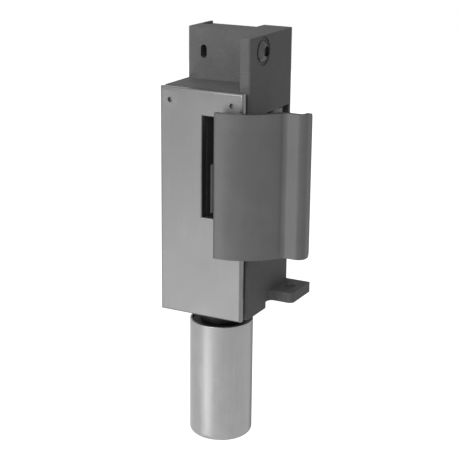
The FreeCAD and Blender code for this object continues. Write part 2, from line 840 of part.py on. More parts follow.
def make_plunger():
    """The plunger, with a slot for the lever's arm, a cross hole and a spring pocket."""
    made = new_body("plunger")
    radius = size["plunger_radius"]
    drum(made, "XY", plunger_low, plunger_high, plunger_x, plunger_y, radius)
    margin = size["plunger_slot_margin"]
    slot_low = lever_z - size["plunger_slot_depth"]
    pocket(made, "XY", slot_low, plunger_high, box_points(
        plunger_x - radius - 1, plunger_x + radius + 1, arm_front - margin, arm_back + margin))
    bore(made, "XZ", plunger_y - radius, plunger_y + radius, plunger_x, lever_z,
         size["link_pin_radius"])
    bore(made, "XY", plunger_low, plunger_low + size["return_spring_pocket"],
         plunger_x, plunger_y, size["return_spring_bore"])
    link = new_body("plunger_link_pin")
    drum(link, "XZ", plunger_y - radius * 0.94, plunger_y + radius * 0.94, plunger_x, lever_z,
         size["link_pin_radius"])


def make_solenoid():
    """The can and all it holds, turned about the plunger's axis."""
    outer = size["can_radius"]
    inner = outer - size["can_wall"]
    bend = size["can_bottom_radius"]
    tube = tube_radius
    thread = size["bush_thread_radius"]
    collar = size["bush_collar_radius"]
    spigot = size["bush_spigot_radius"]
    can = turned("solenoid_can", plunger_x, plunger_y, [
        (0, can_low), (outer - bend, can_low), (outer, can_low + bend, bend, 1),
        (outer, can_top), (inner, can_top), (inner, can_floor + bend - size["can_wall"]),
        (inner - bend + size["can_wall"], can_floor, bend - size["can_wall"], -1),
        (0, can_floor)])
    grommet_z = can_top - size["grommet_drop"]
    drill(can, inner - 1, outer + 1, grommet_z, size["grommet_radius"] - size["grommet_lip"])
    turned("end_disc", plunger_x, plunger_y, [
        (spigot, disc_low), (inner, disc_low), (inner, disc_top), (spigot, disc_top)])
    thread_top = floor + size["nut_height"] + size["thread_end"]
    turned("mounting_bush", plunger_x, plunger_y, [
        (tube, disc_low), (spigot, disc_low), (spigot, disc_top), (collar, disc_top),
        (collar, base), (thread, base), (thread, thread_top), (tube, thread_top)])
    rim = inner - size["bobbin_rim_gap"]
    wound = rim - size["coil_rim_gap"]
    core = tube + size["bobbin_tube_wall"]
    flange = size["bobbin_flange"]
    turned("bobbin", plunger_x, plunger_y, [
        (tube, can_floor + bend), (rim, can_floor + bend), (rim, can_floor + bend + flange),
        (core, can_floor + bend + flange), (core, disc_low - flange), (rim, disc_low - flange),
        (rim, disc_low), (tube, disc_low)])
    turned("coil_winding", plunger_x, plunger_y, [
        (core, can_floor + bend + flange), (wound, can_floor + bend + flange),
        (wound, disc_low - flange), (core, disc_low - flange)])
    turned("pole_piece", plunger_x, plunger_y, [
        (0, can_floor), (tube, can_floor), (tube, pole_top), (0, pole_top)])


def drill(made, start, end, level, radius):
    """A round hole through the back of a turned piece, in the piece's own frame."""
    return bore(made, "XZ", start, end, Size.of(0), level, radius)


def make_mounting_nut():
    """The thin hexagon nut that holds the solenoid to the floor."""
    made = new_body("mounting_nut")
    reach = size["nut_across_flats"] / math.sqrt(3)
    half = reach / 2
    flat = size["nut_across_flats"] / 2
    pad(made, "XY", floor, floor + size["nut_height"], [
        (plunger_x + reach, plunger_y), (plunger_x + half, plunger_y + flat),
        (plunger_x - half, plunger_y + flat), (plunger_x - reach, plunger_y),
        (plunger_x - half, plunger_y - flat), (plunger_x + half, plunger_y - flat)])
    bore(made, "XY", floor, floor + size["nut_height"], plunger_x, plunger_y,
         size["bush_thread_radius"] + size["nut_gap"])


def make_lead_grommet():
    """The rubber grommet in the back of the can, where the coil's leads come out."""
    made = new_body("lead_grommet")
    level = can_top - size["grommet_drop"]
    outside = plunger_y + size["can_radius"] - size["can_wall"] / 2
    neck = size["grommet_radius"] - size["grommet_lip"]
    drum(made, "XZ", outside - size["can_wall"], outside + size["can_wall"] / 2,
         plunger_x, level, neck)
    face = outside + size["can_wall"] / 2
    drum(made, "XZ", face, face + size["grommet_flange"], plunger_x, level,
         size["grommet_radius"])
    bore(made, "XZ", outside - size["can_wall"], outside + size["can_wall"] + 2,
         plunger_x, level, size["grommet_hole_radius"])


def make_side_screw():
    """The button-head screw in the bracket's wall, with a hexagon socket."""
    made = new_body("side_screw")
    depth = plate_front + size["side_screw_depth"]
    height = top + size["side_screw_rise"]
    seat = right - size["side_recess_depth"]
    drum(made, "YZ", seat - size["side_screw_length"], seat, depth, height,
         size["side_screw_radius"])
    head_end = seat + size["side_screw_head_height"]
    drum(made, "YZ", seat, head_end, depth, height, size["side_screw_head_radius"])
    round_edges(made, lambda edge: lies_at(edge, "x", head_end),
                size["side_screw_head_height"] * 0.8)
    reach = size["driver_socket_width"] * 1.6 / math.sqrt(3)
    half = reach / 2
    flat = size["driver_socket_width"] * 0.8
    pocket(made, "YZ", head_end - size["driver_socket_depth"], head_end, [
        (depth + reach, height), (depth + half, height + flat), (depth - half, height + flat),
        (depth - reach, height), (depth - half, height - flat), (depth + half, height - flat)])


def write_parts():
    """Check every object, then write each piece to its own file."""
    doc.recompute()
    for thing in doc.Objects:
        if "Invalid" in thing.State or "Error" in thing.State:
            raise ValueError("%s is %s" % (thing.Name, thing.State))
    os.makedirs("parts", exist_ok=True)
    for piece in parts:
        if piece.Shape.isNull() or not piece.Shape.isValid():
            raise ValueError("%s has no valid shape" % piece.Label)
        piece.Shape.exportStep("parts/%s.step" % piece.Label)
        print("%-18s %2d solids %10.1f mm3" % (
            piece.Label, len(piece.Shape.Solids), piece.Shape.Volume))


make_housing()
make_front_plate()
make_plate_screws()
make_plate_dowels()
make_keeper()
make_keeper_pin()
make_springs()
make_lever()
make_lever_pin()
make_plunger()
make_solenoid()
make_mounting_nut()
make_lead_grommet()
make_side_screw()
write_parts()
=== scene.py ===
"""Looks of an electric strike: cast housing, satin plate, curved keeper and solenoid can."""
from __future__ import annotations

import json
import logging
import math
from dataclasses import dataclass, field
from enum import Enum
from typing import Any, Callable

import bmesh
import bpy
from mathutils import Matrix, Vector

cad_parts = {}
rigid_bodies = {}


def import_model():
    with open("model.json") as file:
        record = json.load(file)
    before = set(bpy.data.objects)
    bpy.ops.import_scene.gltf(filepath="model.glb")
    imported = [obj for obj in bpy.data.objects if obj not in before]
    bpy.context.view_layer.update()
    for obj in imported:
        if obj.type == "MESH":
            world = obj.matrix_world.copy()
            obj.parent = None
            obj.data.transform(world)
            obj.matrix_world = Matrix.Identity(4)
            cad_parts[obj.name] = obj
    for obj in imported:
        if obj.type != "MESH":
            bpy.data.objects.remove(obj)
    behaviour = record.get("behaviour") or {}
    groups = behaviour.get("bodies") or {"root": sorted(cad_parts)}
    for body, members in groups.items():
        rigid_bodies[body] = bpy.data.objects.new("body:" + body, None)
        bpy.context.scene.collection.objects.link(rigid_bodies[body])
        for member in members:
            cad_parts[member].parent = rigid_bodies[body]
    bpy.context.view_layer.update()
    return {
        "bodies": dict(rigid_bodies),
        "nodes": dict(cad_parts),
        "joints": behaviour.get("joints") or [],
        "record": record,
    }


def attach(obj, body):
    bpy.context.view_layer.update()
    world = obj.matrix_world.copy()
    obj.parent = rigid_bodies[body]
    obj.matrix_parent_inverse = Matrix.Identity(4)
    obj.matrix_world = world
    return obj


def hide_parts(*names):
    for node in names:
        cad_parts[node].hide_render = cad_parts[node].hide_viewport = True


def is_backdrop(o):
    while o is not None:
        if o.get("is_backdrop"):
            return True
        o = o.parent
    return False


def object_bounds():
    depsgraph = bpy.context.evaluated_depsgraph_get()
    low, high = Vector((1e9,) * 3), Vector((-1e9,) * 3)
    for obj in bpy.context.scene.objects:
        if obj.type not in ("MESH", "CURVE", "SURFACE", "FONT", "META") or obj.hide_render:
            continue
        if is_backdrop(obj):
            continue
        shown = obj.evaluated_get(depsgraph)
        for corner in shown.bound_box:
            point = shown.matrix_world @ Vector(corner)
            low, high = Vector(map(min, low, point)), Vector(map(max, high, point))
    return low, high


LOG = logging.getLogger("electric_strike")
MM = 0.001
# How the noises are built and which part of their range is used.
GRAIN_NOISE = {"Detail": 4.0, "Roughness": 0.6}
PATCH_NOISE = {"Detail": 5.0, "Roughness": 0.65}
PATCH_RANGE = {"From Min": 0.42, "From Max": 0.72}
NOISE_RANGE = {"From Min": 0.3, "From Max": 0.7}
GRAIN_LIFT = 0.7
BUMP_STRENGTH = 0.8
PITS_PER_GRAIN = 0.6
PIT_REACH = 0.35
# How a copied node is cleaned and shaded.
WELD_M = 1e-6
FLAT_DEGREES = 0.6
ROUNDED_DEGREES = 34.0
SMOOTH_DEGREES = 32.0
HEXAGON = 6
Point = tuple[float, float, float]
Profile = list[tuple[float, float]]


class Relief(Enum):
    """What a surface's fine relief looks like."""

    SAND = "sand"
    BRUSHED = "brushed"
    SMOOTH = "smooth"
    TURNED = "turned"


class Axis(Enum):
    """Which way a turned piece points, as the turn from upright."""

    UP = (0.0, 0.0, 0.0)
    FRONT = (math.pi / 2, 0.0, 0.0)
    RIGHT = (0.0, math.pi / 2, 0.0)
    BACK = (-math.pi / 2, 0.0, 0.0)

    def matrix(self, centre: Point) -> Matrix:
        """Give the turn and place of a piece that points this way.

        Args:
            centre: the middle of the piece's base in millimetres.

        Returns:
            The matrix from the piece's own upright frame to the model's.
        """
        turn = Matrix.Rotation(self.value[0], 4, "X") @ Matrix.Rotation(self.value[1], 4, "Y")
        return Matrix.Translation(Vector(centre) * MM) @ turn


def linear(code: str) -> tuple[float, float, float, float]:
    """Turn an sRGB hex colour to linear light.

    Args:
        code: six hex digits with a leading #.

    Returns:
        The red, green, blue and alpha values.
    """
    parts = [int(code[i:i + 2], 16) / 255 for i in (1, 3, 5)]
    light = [p / 12.92 if p <= 0.04045 else ((p + 0.055) / 1.055) ** 2.4 for p in parts]
    return (light[0], light[1], light[2], 1.0)


def add_node(tree: bpy.types.NodeTree, kind: str, settings: dict[str, Any] | None = None,
             links: dict[Any, bpy.types.NodeSocket] | None = None,
             values: dict[Any, Any] | None = None) -> bpy.types.Node:
    """Add one node with its settings, links and socket values.

    Args:
        tree: the tree that the node goes into.
        kind: the node's type name.
        settings: attributes set on the node.
        links: input sockets by name or number, each with the output that feeds it.
        values: input sockets by name or number, each with its default value.

    Returns:
        The new node.
    """
    node = tree.nodes.new(kind)
    for name, value in (settings or {}).items():
        setattr(node, name, value)
    for name, value in (values or {}).items():
        node.inputs[name].default_value = value
    for name, source in (links or {}).items():
        tree.links.new(source, node.inputs[name])
    return node


@dataclass(frozen=True)
class Finish:
    """One surface finish, with its colours, gloss and fine relief.

    The patterns are set from real sizes in millimetres.
    """

    name: str
    colour: str
    worn: str
    metallic: float
    roughness: float
    relief: Relief = Relief.SMOOTH
    grain_mm: float = 0.5
    relief_mm: float = 0.02
    patch_mm: float = 12.0
    grain_shade: float = 0.1
    gloss_spread: float = 0.06

    def stretch(self) -> Point:
        """Give how far the grain is drawn out along each axis.

        Returns:
            The scale of the grain's coordinates along X, Y and Z.
        """
        if self.relief is Relief.BRUSHED:
            return (1.0, 1.0, 0.03)
        if self.relief is Relief.TURNED:
            return (0.05, 0.05, 1.0)
        return (1.0, 1.0, 1.0)

    def material(self) -> bpy.types.Material:
        """Build the finish as a node material, once.

        Returns:
            The material, named for the finish.
        """
        if self.name in bpy.data.materials:
            return bpy.data.materials[self.name]
        made = bpy.data.materials.new(self.name)
        made.use_nodes = True
        tree = made.node_tree
        tree.nodes.clear()
        place = add_node(tree, "ShaderNodeTexCoord")
        mapping = add_node(tree, "ShaderNodeMapping", links={"Vector": place.outputs["Object"]},
                           values={"Scale": self.stretch()})
        grain = add_node(tree, "ShaderNodeTexNoise", links={"Vector": mapping.outputs["Vector"]},
                         values={"Scale": 1 / (self.grain_mm * MM), **GRAIN_NOISE})
        patches = add_node(tree, "ShaderNodeTexNoise", links={"Vector": place.outputs["Object"]},
                           values={"Scale": 1 / (self.patch_mm * MM), **PATCH_NOISE})
        spread = add_node(tree, "ShaderNodeMapRange", links={"Value": patches.outputs["Fac"]},
                          values=PATCH_RANGE)
        tint = add_node(tree, "ShaderNodeMix", {"data_type": "RGBA"},
                        links={"Factor": spread.outputs["Result"]},
                        values={"A": linear(self.colour), "B": linear(self.worn)})
        fine = add_node(tree, "ShaderNodeMapRange", links={"Value": grain.outputs["Fac"]},
                        values={**NOISE_RANGE, "To Min": 1 - self.grain_shade,
                                "To Max": 1 + self.grain_shade * GRAIN_LIFT})
        shaded = add_node(tree, "ShaderNodeMix", {"data_type": "RGBA", "blend_type": "MULTIPLY"},
                          links={"A": tint.outputs["Result"], "B": fine.outputs["Result"]},
                          values={"Factor": 1.0})
        gloss = add_node(tree, "ShaderNodeMapRange", links={"Value": patches.outputs["Fac"]},
                         values={**NOISE_RANGE, "To Min": self.roughness - self.gloss_spread,
                                 "To Max": self.roughness + self.gloss_spread})
        bump = add_node(tree, "ShaderNodeBump", links={"Height": self.height(tree, place, grain)},
                        values={"Distance": self.relief_mm * MM, "Strength": BUMP_STRENGTH})
        skin = add_node(tree, "ShaderNodeBsdfPrincipled",
                        links={"Base Color": shaded.outputs["Result"],
                               "Roughness": gloss.outputs["Result"],
                               "Normal": bump.outputs["Normal"]},
                        values={"Metallic": self.metallic})
        add_node(tree, "ShaderNodeOutputMaterial", links={"Surface": skin.outputs["BSDF"]})
        return made

    def height(self, tree: bpy.types.NodeTree, place: bpy.types.Node,
               grain: bpy.types.Node) -> bpy.types.NodeSocket:
        """Give the height that the fine relief is made of.

        Args:
            tree: the material's tree.
            place: its texture coordinates.
            grain: the grain's noise.

        Returns:
            The grain itself, or on a casting the grain joined with the sand's own pits.
        """
        if self.relief is not Relief.SAND:
            return grain.outputs["Fac"]
        pits = add_node(tree, "ShaderNodeTexVoronoi", links={"Vector": place.outputs["Object"]},
                        values={"Scale": PITS_PER_GRAIN / (self.grain_mm * MM)})
        depth = add_node(tree, "ShaderNodeMapRange", links={"Value": pits.outputs["Distance"]},
                         values={"From Min": 0.0, "From Max": PIT_REACH})
        both = add_node(tree, "ShaderNodeMath", {"operation": "ADD"},
                        links={0: grain.outputs["Fac"], 1: depth.outputs["Result"]})
        return both.outputs[0]


# Sand-cast body under dark grey paint: dull, with a coarse skin that breaks the light up.
CAST_GREY = Finish("painted_sand_casting", "#5c5c5c", "#686868", 0.0, 0.7, Relief.SAND,
                   grain_mm=0.9, relief_mm=0.10, patch_mm=9, grain_shade=0.06)
# Rolled stainless plate with a lengthwise satin grain: soft, milky reflections.
SATIN_PLATE = Finish("satin_stainless_plate", "#777777", "#7d7d7d", 0.85, 0.37, Relief.BRUSHED,
                     grain_mm=0.5, relief_mm=0.003, patch_mm=22, grain_shade=0.03)
# Cast steel keeper, blasted and nickel plated: an even grey with a faint grain.
KEEPER_GREY = Finish("blasted_keeper_steel", "#5e5e5f", "#666667", 0.6, 0.44, Relief.BRUSHED,
                     grain_mm=0.5, relief_mm=0.004, patch_mm=14, grain_shade=0.03)
# Deep-drawn can, bright zinc on steel: streaks run with the draw.
ZINC_CAN = Finish("zinc_plated_can", "#989898", "#a3a3a3", 0.85, 0.4, Relief.BRUSHED,
                  grain_mm=0.8, relief_mm=0.006, patch_mm=16, grain_shade=0.05)
# Zinc plated screws, as bright as the plate that they are sunk in.
BRIGHT_SCREW = Finish("zinc_plated_screw", "#787878", "#7e7e7e", 0.85, 0.4, grain_mm=0.3,
                      relief_mm=0.003, grain_shade=0.04)
# Chemically blackened button-head screw: dark, with a dull sheen.
DARK_SCREW = Finish("blackened_screw", "#4e4e4f", "#5c5c5d", 0.7, 0.36, grain_mm=0.3,
                    relief_mm=0.006)
# Turned bar: fine rings round the axis, a narrow highlight.
TURNED_STEEL = Finish("turned_steel", "#7c7c7c", "#888888", 0.95, 0.32, Relief.TURNED,
                      grain_mm=0.25, relief_mm=0.004)
# Chemically blackened bar: a dark, oily grey. It is kept this dark partly as its own finish and
# partly as painted shade for the shadowed gap under the plate.
BLACKENED_STEEL_PAINTED_SHADE = Finish("blackened_steel_painted_shade", "#242424", "#2c2c2c", 0.7, 0.42, Relief.TURNED,
                     grain_mm=0.25, relief_mm=0.004)
# Hard-drawn wire: smooth and slightly dark from its heat treatment.
SPRING_WIRE = Finish("spring_wire", "#6e6e70", "#7a7a7c", 0.95, 0.28, grain_mm=0.3,
                     relief_mm=0.003)
# Moulded black nylon: even, slightly milky. Its blackness is partly its own colour and partly
# painted shade for the can's shadowed top under the plate.
BLACK_NYLON_PAINTED_SHADE = Finish("black_nylon_painted_shade", "#1d1d1e", "#262627", 0.0, 0.5, Relief.SAND,
                       grain_mm=0.4, relief_mm=0.02)
# Uncoloured nylon of a coil former: waxy off-white.
NATURAL_NYLON = Finish("natural_nylon", "#cfcbbd", "#d8d5ca", 0.0, 0.45, grain_mm=0.4,
                       relief_mm=0.006)
# Enamelled winding wire: warm brown copper under varnish.
COPPER_WIRE = Finish("enamelled_copper", "#8e4a22", "#a35a2c", 0.9, 0.3, Relief.TURNED,
                     grain_mm=0.3, relief_mm=0.004)
# Moulded rubber: almost black and dull.
BLACK_RUBBER = Finish("black_rubber", "#161616", "#202020", 0.0, 0.6, Relief.SAND, grain_mm=0.5,
                      relief_mm=0.02)

NODE_FINISH = {
    "housing": CAST_GREY, "front_plate": SATIN_PLATE, "plate_screws": BRIGHT_SCREW,
    "plate_dowels": TURNED_STEEL, "keeper": KEEPER_GREY, "keeper_pin": TURNED_STEEL,
    "keeper_pin_ring": SPRING_WIRE, "keeper_spring": SPRING_WIRE,
    "locking_lever": TURNED_STEEL, "lever_pin": TURNED_STEEL, "lever_pin_ring": SPRING_WIRE,
    "plunger": TURNED_STEEL, "plunger_link_pin": TURNED_STEEL, "return_spring": SPRING_WIRE,
    "mounting_bush": BLACKENED_STEEL_PAINTED_SHADE, "mounting_nut": TURNED_STEEL, "solenoid_can": ZINC_CAN,
    # The end disc's black is partly its own colour and partly painted shade for the can's shadowed
    # top.
    "end_disc": BLACK_NYLON_PAINTED_SHADE, "bobbin": NATURAL_NYLON, "coil_winding": COPPER_WIRE,
    "pole_piece": TURNED_STEEL, "lead_grommet": BLACK_RUBBER, "side_screw": DARK_SCREW,
}


def new_piece(name: str, mesh: bpy.types.Mesh, finish: Finish) -> bpy.types.Object:
    """Put a finished mesh in the scene.

    Args:
        name: the piece's name.
        mesh: its mesh, already in place.
        finish: what it is finished with.

    Returns:
        The new object, at the origin.
    """
    mesh.materials.clear()
    mesh.materials.append(finish.material())
    piece = bpy.data.objects.new(name, mesh)
    bpy.context.collection.objects.link(piece)
    return piece


def smooth_by_angle(mesh: bpy.types.Mesh, degrees: float = 30.0) -> None:
    """Shade a mesh smooth, but sharp across edges over an angle.

    Args:
        mesh: the mesh that is shaded.
        degrees: the angle over which an edge stays sharp.
    """
    mesh.shade_smooth()
    mesh.set_sharp_from_angle(angle=math.radians(degrees))


def settle(piece: bpy.types.Object) -> None:
    """Apply a piece's modifiers and keep the plain mesh that they give.

    Args:
        piece: the object with live modifiers.
    """
    bpy.context.view_layer.update()
    graph = bpy.context.evaluated_depsgraph_get()
    result = bpy.data.meshes.new_from_object(piece.evaluated_get(graph))
    piece.modifiers.clear()
    piece.data = result


def carry(piece: bpy.types.Object, body: str, nodes: list[str]) -> None:
    """Tell the frame what a piece rides on, and what it stands for.

    Args:
        piece: the finished piece.
        body: the CAD body that it moves with.
        nodes: the CAD nodes that it replaces.
    """
    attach(piece, body)
    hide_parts(*nodes)
    LOG.info("%s: %d faces", piece.name, len(piece.data.polygons))


def softened_copy(node: bpy.types.Object, name: str, finish: Finish, width_mm: float,
                  steps: int = 2,
                  shape_work: Callable[[bpy.types.Object], None] | None = None
                  ) -> bpy.types.Object:
    """Copy a CAD node, thin out its triangles and round its edges.

    The flat faces are cut into plain triangles before the rounding, because a face with a hole
    in it is closed wrongly after it. Weighted normals keep the flat faces flat to the eye.

    Args:
        node: the CAD node's object.
        name: the new piece's name.
        finish: what it is finished with.
        width_mm: how far the rounding reaches on each side of an edge.
        steps: segments across the rounding.
        shape_work: what else is done to the copy before its edges are rounded.

    Returns:
        The new object with a plain mesh.
    """
    mesh = node.data.copy()
    shape = bmesh.new()
    shape.from_mesh(mesh)
    bmesh.ops.remove_doubles(shape, verts=shape.verts, dist=WELD_M)
    bmesh.ops.dissolve_limit(shape, angle_limit=math.radians(FLAT_DEGREES), verts=shape.verts,
                             edges=shape.edges, delimit=set())
    bmesh.ops.triangulate(shape, faces=shape.faces[:])
    shape.to_mesh(mesh)
    shape.free()
    piece = new_piece(name, mesh, finish)
    if shape_work:
        shape_work(piece)
    bevel = piece.modifiers.new("round", "BEVEL")
    bevel.width = width_mm * MM
    bevel.segments = steps
    bevel.limit_method = "ANGLE"
    bevel.angle_limit = math.radians(ROUNDED_DEGREES)
    bevel.miter_outer = "MITER_ARC"
    settle(piece)
    smooth_by_angle(piece.data, SMOOTH_DEGREES)
    level = piece.modifiers.new("level", "WEIGHTED_NORMAL")
    level.keep_sharp = True
    settle(piece)
    return piece


def turned_mesh(name: str, profile: Profile, pose: Matrix, steps: int = 96) -> bpy.types.Mesh:
    """Turn a closed profile about an axis.

    Args:
        name: the mesh's name.
        profile: (radius, height) points in millimetres, in order round the section.
        pose: where the axis goes.
        steps: faces round the axis.

    Returns:
        A closed mesh with its faces outwards.
    """
    shape = bmesh.new()
    rings: list[list[bmesh.types.BMVert]] = []
    for radius, height in profile:
        count = 1 if radius < 1e-9 else steps
        rings.append([shape.verts.new((radius * MM * math.cos(math.tau * i / steps),
                                       radius * MM * math.sin(math.tau * i / steps),
                                       height * MM)) for i in range(count)])
    for low, high in zip(rings, rings[1:] + rings[:1]):
        if len(low) == 1 and len(high) == 1:
            continue
        for i in range(steps):
            j = (i + 1) % steps
            corners = [low[i % len(low)], low[j % len(low)], high[j % len(high)],
                       high[i % len(high)]]
            shape.faces.new(list(dict.fromkeys(corners)))
    bmesh.ops.recalc_face_normals(shape, faces=shape.faces)
    shape.transform(pose)
    mesh = bpy.data.meshes.new(name)
    shape.to_mesh(mesh)
    shape.free()
    smooth_by_angle(mesh, SMOOTH_DEGREES)
    return mesh


def prism_mesh(name: str, outline: Profile, low: float, high: float,
               pose: Matrix) -> bpy.types.Mesh:
    """Raise a closed outline to a straight prism.

    Args:
        name: the mesh's name.
        outline: its corners in millimetres.
        low: where it starts.
        high: where it ends.
        pose: where it goes.

    Returns:
        A closed mesh with its faces outwards.
    """
    shape = bmesh.new()
    bottom, upper = [[shape.verts.new((x * MM, y * MM, level * MM)) for x, y in outline]
                     for level in (low, high)]
    shape.faces.new(bottom)
    shape.faces.new(upper)
    for i in range(len(outline)):
        j = (i + 1) % len(outline)
        shape.faces.new([bottom[i], bottom[j], upper[j], upper[i]])
    bmesh.ops.recalc_face_normals(shape, faces=shape.faces)
    shape.transform(pose)
    mesh = bpy.data.meshes.new(name)
    shape.to_mesh(mesh)
    shape.free()
    return mesh


def arc_points(centre: tuple[float, float], radius: float, start: float, end: float,
               steps: int) -> Profile:
    """Give points along an arc of a profile.

    Args:
        centre: its centre.
        radius: its radius.
        start: first angle in degrees.
        end: last angle in degrees.
        steps: how many runs it has.

    Returns:
        The points, both ends included.
    """
    turns = [math.radians(start + (end - start) * i / steps) for i in range(steps + 1)]
    return [(centre[0] + radius * math.cos(t), centre[1] + radius * math.sin(t)) for t in turns]


def cut_with(piece: bpy.types.Object, cutter: bpy.types.Mesh) -> None:
    """Cut one closed mesh out of a piece.

    Args:
        piece: the piece that is cut.
        cutter: the closed mesh, in place.
    """
    tool = bpy.data.objects.new("cutter", cutter)
    bpy.context.collection.objects.link(tool)
    cut = piece.modifiers.new("cut", "BOOLEAN")
    cut.operation = "DIFFERENCE"
    cut.object = tool
    settle(piece)
    bpy.data.objects.remove(tool)
    smooth_by_angle(piece.data, SMOOTH_DEGREES)


@dataclass
class NodeShape:
    """A Geometry Nodes tree with named inputs, and the plain mesh that it gives."""

    name: str
    tree: bpy.types.NodeTree = field(init=False)
    inside: bpy.types.Node = field(init=False)

    def __post_init__(self) -> None:
        """Start the tree with its group input."""
        self.tree = bpy.data.node_groups.new(self.name, "GeometryNodeTree")
        self.inside = add_node(self.tree, "NodeGroupInput")

    def add_size(self, label: str, kind: str = "NodeSocketFloat") -> None:
        """Add one named input.

        Args:
            label: the input's name.
            kind: its socket type.
        """
        self.tree.interface.new_socket(label, in_out="INPUT", socket_type=kind)

    def close(self, shape: bpy.types.NodeSocket) -> None:
        """End the tree in Realize Instances and Set Material.

        Args:
            shape: the geometry that the tree gives.
        """
        self.tree.interface.new_socket("Mesh", in_out="OUTPUT", socket_type="NodeSocketGeometry")
        real = add_node(self.tree, "GeometryNodeRealizeInstances", links={"Geometry": shape})
        dressed = add_node(self.tree, "GeometryNodeSetMaterial",
                           links={"Geometry": real.outputs[0],
                                  "Material": self.inside.outputs["Finish"]})
        end = add_node(self.tree, "NodeGroupOutput")
        self.tree.links.new(dressed.outputs[0], end.inputs[0])

    def mesh(self, sizes: dict[str, Any], pose: Matrix) -> bpy.types.Mesh:
        """Run the tree and keep its result.

        Args:
            sizes: a value for each named input.
            pose: where the result goes.

        Returns:
            The plain mesh, in place.
        """
        host = bpy.data.objects.new(self.name, bpy.data.meshes.new(self.name))
        bpy.context.collection.objects.link(host)
        grown = host.modifiers.new("grow", "NODES")
        grown.node_group = self.tree
        for item in self.tree.interface.items_tree:
            if item.in_out == "INPUT":
                grown[item.identifier] = sizes[item.name]
        settle(host)
        made = host.data
        bpy.data.objects.remove(host)
        made.transform(pose)
        return made


class CoilTree(NodeShape):
    """Round wire laid along a helix."""

    def grow(self) -> "CoilTree":
        """Build the tree.

        Returns:
            The tree itself, ready to run.
        """
        for label in ("Radius", "Height", "Turns", "Wire"):
            self.add_size(label)
        self.add_size("Sides", "NodeSocketInt")
        self.add_size("Steps per turn", "NodeSocketInt")
        self.add_size("Finish", "NodeSocketMaterial")
        sizes = self.inside.outputs
        helix = add_node(self.tree, "GeometryNodeCurveSpiral",
                         links={"Resolution": sizes["Steps per turn"], "Rotations": sizes["Turns"],
                                "Start Radius": sizes["Radius"], "End Radius": sizes["Radius"],
                                "Height": sizes["Height"]})
        section = add_node(self.tree, "GeometryNodeCurvePrimitiveCircle", {"mode": "RADIUS"},
                           links={"Resolution": sizes["Sides"], "Radius": sizes["Wire"]})
        wire = add_node(self.tree, "GeometryNodeCurveToMesh",
                        links={"Curve": helix.outputs[0], "Profile Curve": section.outputs[0]},
                        values={"Fill Caps": True})
        self.close(wire.outputs[0])
        return self


class ScrewRowTree(NodeShape):
    """A row of like countersunk screws, each with a hexagon socket."""

    head_sides = 48
    shank_sides = 32

    def grow(self) -> "ScrewRowTree":
        """Build the tree: one screw pointing up, laid at both ends of a line along X.

        Returns:
            The tree itself, ready to run.
        """
        for label in ("Head radius", "Head height", "Shank radius", "Length", "Socket radius",
                      "Socket depth", "Spacing"):
            self.add_size(label)
        self.add_size("Count", "NodeSocketInt")
        self.add_size("Finish", "NodeSocketMaterial")
        sizes = self.inside.outputs
        head = add_node(self.tree, "GeometryNodeMeshCone", {"fill_type": "NGON"},
                        links={"Radius Top": sizes["Head radius"],
                               "Radius Bottom": sizes["Shank radius"],
                               "Depth": sizes["Head height"]},
                        values={"Vertices": self.head_sides})
        drop = add_node(self.tree, "ShaderNodeMath", {"operation": "MULTIPLY"},
                        links={0: sizes["Head height"]}, values={1: -1.0})
        head_place = add_node(self.tree, "ShaderNodeCombineXYZ", links={"Z": drop.outputs[0]})
        head_set = add_node(self.tree, "GeometryNodeTransform",
                            links={"Geometry": head.outputs["Mesh"],
                                   "Translation": head_place.outputs[0]})
        socket = add_node(self.tree, "GeometryNodeMeshCylinder", {"fill_type": "NGON"},
                          links={"Radius": sizes["Socket radius"]},
                          values={"Vertices": HEXAGON})
        double = add_node(self.tree, "ShaderNodeMath", {"operation": "MULTIPLY"},
                          links={0: sizes["Socket depth"]}, values={1: 2.0})
        self.tree.links.new(double.outputs[0], socket.inputs["Depth"])
        bored = add_node(self.tree, "GeometryNodeMeshBoolean", {"operation": "DIFFERENCE"},
                         links={"Mesh 1": head_set.outputs[0], "Mesh 2": socket.outputs["Mesh"]})
        shank = add_node(self.tree, "GeometryNodeMeshCylinder", {"fill_type": "NGON"},
                         links={"Radius": sizes["Shank radius"], "Depth": sizes["Length"]},
                         values={"Vertices": self.shank_sides})
        middle = add_node(self.tree, "ShaderNodeMath", {"operation": "MULTIPLY_ADD"},
                          links={0: sizes["Length"], 2: drop.outputs[0]}, values={1: -0.5})
        shank_place = add_node(self.tree, "ShaderNodeCombineXYZ", links={"Z": middle.outputs[0]})
        shank_set = add_node(self.tree, "GeometryNodeTransform",
                             links={"Geometry": shank.outputs["Mesh"],
                                    "Translation": shank_place.outputs[0]})
        screw = add_node(self.tree, "GeometryNodeJoinGeometry",
                         links={"Geometry": bored.outputs["Mesh"]})
        self.tree.links.new(shank_set.outputs[0], screw.inputs["Geometry"])
        step = add_node(self.tree, "ShaderNodeCombineXYZ", links={"X": sizes["Spacing"]})
        row = add_node(self.tree, "GeometryNodeMeshLine",
                       links={"Count": sizes["Count"], "Offset": step.outputs[0]})
        laid = add_node(self.tree, "GeometryNodeInstanceOnPoints",
                        links={"Points": row.outputs[0], "Instance": screw.outputs[0]})
        self.close(laid.outputs[0])
        return self


@dataclass
class CastBody:
    """The casting, with its edges softened as a shot-blasted casting's are."""

    edge_mm: float = 0.45

    def build(self, frame: dict[str, Any]) -> None:
        """Replace the plain housing.
        """
        piece = softened_copy(frame["nodes"]["housing"], "cast_body", CAST_GREY, self.edge_mm)
        carry(piece, "frame", ["housing"])


